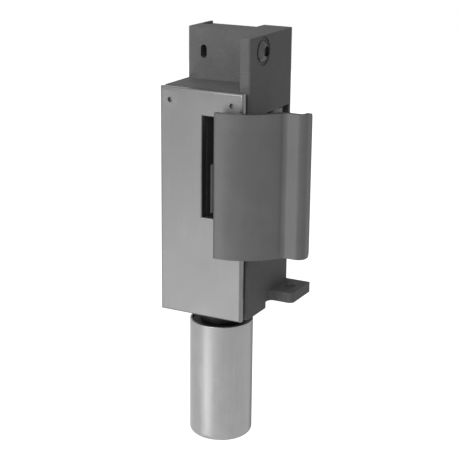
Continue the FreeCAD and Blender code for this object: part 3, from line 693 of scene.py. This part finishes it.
@dataclass
class FacePlate:
    """The bright plate and its two sunk screws."""

    edge_mm: float = 0.8
    edge_steps: int = 4
    left_mm: float = -13.6
    row_mm: float = 39.6
    front_mm: float = -40.0
    proud_mm: float = 0.02
    spacing_mm: float = 26.2
    count: int = 2
    head_radius: float = 3.4
    head_height: float = 1.9
    shank_radius: float = 1.75
    screw_length: float = 8.0
    socket_width: float = 2.0
    socket_depth: float = 1.1

    def build(self, frame: dict[str, Any]) -> None:
        """Replace the plain plate and its screws.
        """
        plate = softened_copy(frame["nodes"]["front_plate"], "satin_plate", SATIN_PLATE,
                              self.edge_mm, self.edge_steps)
        carry(plate, "frame", ["front_plate"])
        tree = ScrewRowTree("countersunk_screws").grow()
        mesh = tree.mesh({
            "Head radius": self.head_radius * MM, "Head height": self.head_height * MM,
            "Shank radius": self.shank_radius * MM, "Length": self.screw_length * MM,
            "Socket radius": self.socket_width / math.sqrt(3) * MM,
            "Socket depth": self.socket_depth * MM, "Spacing": self.spacing_mm * MM,
            "Count": self.count, "Finish": BRIGHT_SCREW.material()},
            Axis.FRONT.matrix((self.left_mm, self.front_mm + self.proud_mm, self.row_mm)))
        smooth_by_angle(mesh)
        screws = new_piece("sunk_screws", mesh, BRIGHT_SCREW)
        carry(screws, "frame", ["plate_screws"])


@dataclass
class Keeper:
    """The curved keeper and its closing spring."""

    edge_mm: float = 0.3
    low: float = -18.0
    high: float = 37.6
    curl_end: float = -25.4
    corner_radius: float = 2.8
    corner_steps: int = 8
    cut_margin: float = 1.0
    curl_span: tuple[float, float] = (34.0, 42.0)
    ramp_back: float = -42.5
    left_edge: float = 8.6
    edge_zone: tuple[float, float] = (-0.3, 1.6)
    edge_shift: float = 0.85
    nib_edge: float = 6.9
    nib_front: float = -44.0
    nib_face: float = -45.6
    touch: float = 0.05
    pivot: tuple[float, float] = (12.5, -8.0)
    spring_low: float = 13.6
    spring_height: float = 9.0
    spring_radius: float = 3.4
    wire: float = 0.9
    turns: float = 4.5
    wire_sides: int = 12
    turn_steps: int = 48
    wire_degrees: float = 50.0

    def trim(self, piece: bpy.types.Object) -> None:
        """Round the curl's corners, set the nib forward and the left edge outwards.

        Args:
            piece: the keeper's copy.
        """
        for corner in piece.data.vertices:
            ahead = corner.co.y / MM
            if abs(corner.co.x / MM - self.nib_edge) < self.touch and ahead < self.nib_front:
                corner.co.y = self.nib_face * MM
            inward = corner.co.x / MM - self.left_edge
            if ahead < self.ramp_back and self.edge_zone[0] < inward < self.edge_zone[1]:
                corner.co.x -= self.edge_shift * MM
        reach = self.corner_radius
        for level, way in ((self.high, 1), (self.low, -1)):
            centre = (self.curl_end - reach, level - way * reach)
            arc = arc_points(centre, reach, 0, 90 * way, self.corner_steps)
            beyond = self.curl_end + self.cut_margin
            above = level + way * self.cut_margin
            outline = arc + [(centre[0], above), (beyond, above), (beyond, centre[1])]
            side = Matrix(((0, 0, 1, 0), (1, 0, 0, 0), (0, 1, 0, 0), (0, 0, 0, 1)))
            cut_with(piece, prism_mesh("corner", outline, *self.curl_span, side))

    def build(self, frame: dict[str, Any]) -> None:
        """Replace the plain keeper and its spring.
        """
        keeper = softened_copy(frame["nodes"]["keeper"], "ramp_keeper", KEEPER_GREY, self.edge_mm,
                               shape_work=self.trim)
        carry(keeper, "keeper", ["keeper"])
        tree = CoilTree("wound_wire").grow()
        mesh = tree.mesh({
            "Radius": self.spring_radius * MM, "Height": (self.spring_height - 2 * self.wire) * MM,
            "Turns": self.turns, "Wire": self.wire / 2 * MM, "Sides": self.wire_sides,
            "Steps per turn": self.turn_steps, "Finish": SPRING_WIRE.material()},
            Axis.UP.matrix((*self.pivot, self.spring_low + self.wire)))
        smooth_by_angle(mesh, self.wire_degrees)
        spring = new_piece("closing_spring", mesh, SPRING_WIRE)
        carry(spring, "frame", ["keeper_spring"])


@dataclass
class Solenoid:
    """The drawn can and the threaded bush that holds it."""

    axis: tuple[float, float] = (-0.5, -22.0)
    radius: float = 12.65
    wall: float = 1.1
    low: float = -99.95
    top: float = -50.55
    bend: float = 2.4
    rim_round: float = 0.45
    hole_level: float = -59.55
    hole_radius: float = 2.2
    hole_span: tuple[float, float] = (9.0, 15.0)
    hole_steps: int = 32
    can_steps: int = 128
    collar_radius: float = 8.5
    thread_radius: float = 7.0
    tube_radius: float = 4.08
    spigot_radius: float = 6.0
    disc_low: float = -53.05
    disc_top: float = -51.05
    base: float = -44.4
    thread_top: float = -37.6
    thread_turns: int = 7
    thread_depth: float = 0.35
    thread_marks: tuple[float, float, float] = (0.15, 0.5, 0.85)
    bush_steps: int = 96
    chamfer: float = 0.4

    def build(self) -> None:
        """Replace the can and the bush."""
        upright = Axis.UP.matrix((*self.axis, 0.0))
        can = new_piece("drawn_can", turned_mesh("drawn_can", self.can_profile(), upright,
                                                 self.can_steps), ZINC_CAN)
        near, far = self.hole_span
        hole = turned_mesh("lead_hole", [(0.0, near), (self.hole_radius, near),
                                         (self.hole_radius, far), (0.0, far)],
                           Axis.BACK.matrix((*self.axis, self.hole_level)), self.hole_steps)
        cut_with(can, hole)
        carry(can, "frame", ["solenoid_can"])
        # The bush's black finish is partly its own colour and partly painted shade for the shadowed
        # gap under the plate.
        bush = new_piece("threaded_bush", turned_mesh("threaded_bush", self.bush_profile(),
                                                      upright, self.bush_steps), BLACKENED_STEEL_PAINTED_SHADE)
        carry(bush, "frame", ["mounting_bush"])

    def can_profile(self) -> Profile:
        """Give the can's section: rounded bottom edge, straight wall and a rolled rim.

        Returns:
            The section's points as (radius, height) in millimetres.
        """
        inner = self.radius - self.wall
        inside = self.bend - self.wall
        outside = arc_points((self.radius - self.bend, self.low + self.bend), self.bend, -90, 0, 10)
        rim = arc_points((self.radius - self.rim_round, self.top - self.rim_round),
                         self.rim_round, 0, 90, 5)
        lip_round = self.rim_round / 2
        lip = arc_points((inner + lip_round, self.top - lip_round), lip_round, 90, 180, 3)
        within = arc_points((inner - inside, self.low + self.wall + inside), inside, 0, -90, 6)
        return ([(0.0, self.low)] + outside + rim + lip + within
                + [(0.0, self.low + self.wall)])

    def bush_profile(self) -> Profile:
        """Give the bush's section: spigot, chamfered collar and the thread's ridges.

        Returns:
            The section's points as (radius, height) in millimetres.
        """
        collar = self.collar_radius
        cham = self.chamfer
        section = [(self.tube_radius, self.disc_low), (self.spigot_radius, self.disc_low),
                   (self.spigot_radius, self.disc_top), (collar - cham, self.disc_top),
                   (collar, self.disc_top + cham), (collar, self.base - cham),
                   (collar - cham, self.base), (self.thread_radius, self.base)]
        pitch = (self.thread_top - self.base) / self.thread_turns
        for turn in range(self.thread_turns):
            start, root, end = [self.base + pitch * (turn + mark) for mark in self.thread_marks]
            section += [(self.thread_radius, start),
                        (self.thread_radius - self.thread_depth, root),
                        (self.thread_radius, end)]
        return section + [(self.thread_radius - cham, self.thread_top),
                          (self.tube_radius, self.thread_top)]


@dataclass
class SideScrew:
    """The button-head screw in the bracket's wall."""

    seat: Point = (17.5, -25.4, 58.3)
    head_radius: float = 4.15
    head_height: float = 2.2
    shank_radius: float = 2.5
    length: float = 6.0
    socket_width: float = 3.8
    socket_depth: float = 1.5
    rim_height: float = 0.35
    tip_chamfer: float = 0.3
    cut_margin: float = 1.0
    dome_steps: int = 12
    round_steps: int = 64

    def build(self) -> None:
        """Replace the plain screw."""
        rise = self.head_height
        bulge = rise - self.rim_height
        dome_radius = (self.head_radius ** 2 + bulge ** 2) / (2 * bulge)
        spread = math.degrees(math.asin(self.head_radius / dome_radius))
        dome = arc_points((0.0, rise - dome_radius), dome_radius, 90 - spread, 90,
                          self.dome_steps)
        tip = self.tip_chamfer
        profile = ([(0.0, -self.length), (self.shank_radius - tip, -self.length),
                    (self.shank_radius, -self.length + tip), (self.shank_radius, 0.0),
                    (self.head_radius, 0.0)] + dome)
        pose = Axis.RIGHT.matrix(self.seat)
        screw = new_piece("button_screw", turned_mesh("button_screw", profile, pose,
                                                      self.round_steps), DARK_SCREW)
        reach = self.socket_width / math.sqrt(3)
        floor, above = rise - self.socket_depth, rise + self.cut_margin
        socket = turned_mesh("driver_socket", [(0.0, floor), (reach, floor), (reach, above),
                                               (0.0, above)], pose, HEXAGON)
        cut_with(screw, socket)
        carry(screw, "frame", ["side_screw"])


@dataclass(frozen=True)
class Lamp:
    """One square lamp: degrees from the plate's face and above level, watts and metres."""

    name: str
    azimuth: float
    elevation: float
    power: float
    side: float


@dataclass
class Studio:
    """Camera, floor, lamps and world."""

    lamps: tuple[Lamp, ...] = (Lamp("key", -24.0, -27.0, 1.2, 0.4),
                               Lamp("fill", -12.0, 27.0, 4.8, 0.6))
    lamp_distance_m: float = 0.9
    soft_light: float = 0.285

    place_mm: Point = (231.06, -460.28, 134.21)
    azimuth: float = 27.497
    elevation: float = 16.725
    roll: float = 0.5674
    lens_mm: float = 102.7
    lens_rise: float = 0.0025
    sensor_mm: float = 36.0
    clip_m: tuple[float, float] = (0.01, 20.0)
    floor_drop_mm: float = 420.0
    floor_reach_m: float = 3.0
    floor_tone: float = 0.6
    flag_azimuth: float = -6.0
    flag_reach: float = 18.0
    flag_blur: float = 6.0
    flag_tone: float = 0.0

    def set_camera(self) -> None:
        """Stand the camera where the photograph was taken from."""
        turn, tilt = math.radians(self.azimuth), math.radians(self.elevation)
        lean = math.radians(self.roll)
        ahead = Vector((-math.sin(turn) * math.cos(tilt), math.cos(turn) * math.cos(tilt),
                        -math.sin(tilt)))
        right = Vector((math.cos(turn), math.sin(turn), 0))
        above = right.cross(ahead)
        across = right * math.cos(lean) + above * math.sin(lean)
        upward = above * math.cos(lean) - right * math.sin(lean)
        lens = bpy.data.cameras.new("camera")
        lens.lens, lens.sensor_width = self.lens_mm, self.sensor_mm
        lens.clip_start, lens.clip_end = self.clip_m
        lens.shift_y = self.lens_rise
        camera = bpy.data.objects.new("camera", lens)
        bpy.context.collection.objects.link(camera)
        pose = Matrix((across, upward, -ahead)).transposed().to_4x4()
        pose.translation = Vector(self.place_mm) * MM
        camera.matrix_world = pose
        bpy.context.scene.camera = camera

    def seen_rays(self, tree: bpy.types.NodeTree) -> bpy.types.NodeSocket:
        """Give 1 for rays from the camera and for gloss and glass, else 0.

        Args:
            tree: the tree that asks.

        Returns:
            The value's socket.
        """
        path = add_node(tree, "ShaderNodeLightPath")
        seen = add_node(tree, "ShaderNodeMath", {"operation": "MAXIMUM"},
                        links={0: path.outputs["Is Camera Ray"],
                               1: path.outputs["Is Transmission Ray"]})
        shown = add_node(tree, "ShaderNodeMath", {"operation": "MAXIMUM"},
                         links={0: seen.outputs[0], 1: path.outputs["Is Glossy Ray"]})
        return shown.outputs[0]

    def set_world(self) -> None:
        """A white surround for the camera and for gloss, and a softer light for the rest."""
        world = bpy.data.worlds.new("studio")
        bpy.context.scene.world = world
        world.use_nodes = True
        tree = world.node_tree
        tree.nodes.clear()
        soft = add_node(tree, "ShaderNodeBackground",
                        values={"Color": (1, 1, 1, 1), "Strength": self.soft_light})
        white = add_node(tree, "ShaderNodeBackground", values={"Color": (1, 1, 1, 1)},
                         links={"Strength": self.flagged_light(tree, "Generated")})
        both = add_node(tree, "ShaderNodeMixShader",
                        links={0: self.seen_rays(tree), 1: soft.outputs[0], 2: white.outputs[0]})
        add_node(tree, "ShaderNodeOutputWorld", links={"Surface": both.outputs[0]})

    def flagged_light(self, tree: bpy.types.NodeTree, place: str) -> bpy.types.NodeSocket:
        """Give a white surround's strength, with a dark flag that only gloss sees.

        The flag stands behind the strike and draws the can's dark right edge.

        Args:
            tree: the tree that asks.
            place: the coordinate whose heading counts, seen from the strike.

        Returns:
            The value's socket.
        """
        where = add_node(tree, "ShaderNodeTexCoord")
        parts = add_node(tree, "ShaderNodeSeparateXYZ", links={0: where.outputs[place]})
        heading = add_node(tree, "ShaderNodeMath", {"operation": "ARCTAN2"},
                           links={0: parts.outputs["X"], 1: parts.outputs["Y"]})
        away = add_node(tree, "ShaderNodeMath", {"operation": "SUBTRACT"},
                        links={0: heading.outputs[0]},
                        values={1: math.radians(self.flag_azimuth)})
        apart = add_node(tree, "ShaderNodeMath", {"operation": "ABSOLUTE"},
                         links={0: away.outputs[0]})
        edge = add_node(tree, "ShaderNodeMapRange", links={"Value": apart.outputs[0]},
                        values={"From Min": math.radians(self.flag_reach),
                                "From Max": math.radians(self.flag_reach + self.flag_blur),
                                "To Min": 1.0 - self.flag_tone, "To Max": 0.0})
        path = add_node(tree, "ShaderNodeLightPath")
        dark = add_node(tree, "ShaderNodeMath", {"operation": "MULTIPLY"},
                        links={0: path.outputs["Is Glossy Ray"], 1: edge.outputs[0]})
        left = add_node(tree, "ShaderNodeMath", {"operation": "SUBTRACT"},
                        links={1: dark.outputs[0]}, values={0: 1.0})
        return left.outputs[0]

    def add_lamp(self, lamp: Lamp) -> None:
        """Hang one lamp that looks at the strike.

        Args:
            lamp: where it hangs, its power and its width.
        """
        data = bpy.data.lights.new(lamp.name, "AREA")
        data.energy, data.size = lamp.power, lamp.side
        hung = bpy.data.objects.new(lamp.name, data)
        bpy.context.collection.objects.link(hung)
        turn, tilt = math.radians(lamp.azimuth), math.radians(lamp.elevation)
        away = Vector((math.sin(turn) * math.cos(tilt), -math.cos(turn) * math.cos(tilt),
                       math.sin(tilt)))
        hung.location = away * self.lamp_distance_m
        hung.rotation_euler = away.to_track_quat("Z", "Y").to_euler()

    def lay_floor(self) -> None:
        """Lay a plain pale floor below the held strike, which shows white but keeps shadows."""
        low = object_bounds()[0][2] - self.floor_drop_mm * MM
        mesh = bpy.data.meshes.new("floor")
        reach = self.floor_reach_m
        mesh.from_pydata([(-reach, -reach, low), (reach, -reach, low), (reach, reach, low),
                          (-reach, reach, low)], [], [(0, 1, 2, 3)])
        floor = bpy.data.objects.new("floor", mesh)
        bpy.context.collection.objects.link(floor)
        skin = bpy.data.materials.new("pale_floor")
        skin.use_nodes = True
        tree = skin.node_tree
        tree.nodes.clear()
        tone = self.floor_tone
        matt = add_node(tree, "ShaderNodeBsdfDiffuse", values={"Color": (tone, tone, tone, 1)})
        lift = add_node(tree, "ShaderNodeEmission",
                        links={"Strength": self.flagged_light(tree, "Object")})
        lit = add_node(tree, "ShaderNodeAddShader", links={0: matt.outputs[0], 1: lift.outputs[0]})
        both = add_node(tree, "ShaderNodeMixShader",
                        links={0: self.seen_rays(tree), 1: matt.outputs[0], 2: lit.outputs[0]})
        add_node(tree, "ShaderNodeOutputMaterial", links={"Surface": both.outputs[0]})
        floor.data.materials.append(skin)
        floor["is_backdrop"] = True

    def build(self) -> None:
        """Set the camera, the surround, the floor and the lamps."""
        self.set_camera()
        self.set_world()
        self.lay_floor()
        for lamp in self.lamps:
            self.add_lamp(lamp)
        bpy.context.scene.view_settings.view_transform = "Standard"


def dress_nodes(frame: dict[str, Any]) -> None:
    """Give every CAD node its finish.
    """
    for name, node in frame["nodes"].items():
        for slot in node.material_slots:
            slot.material = NODE_FINISH[name].material()


def main() -> None:
    """Build the scene piece by piece."""
    logging.basicConfig(level=logging.INFO, format="%(message)s")
    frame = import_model()
    Studio().build()
    dress_nodes(frame)
    CastBody().build(frame)
    FacePlate().build(frame)
    Keeper().build(frame)
    Solenoid().build()
    SideScrew().build()
    LOG.info("dressed %d nodes", len(frame["nodes"]))


if __name__ == "__main__":
    main()
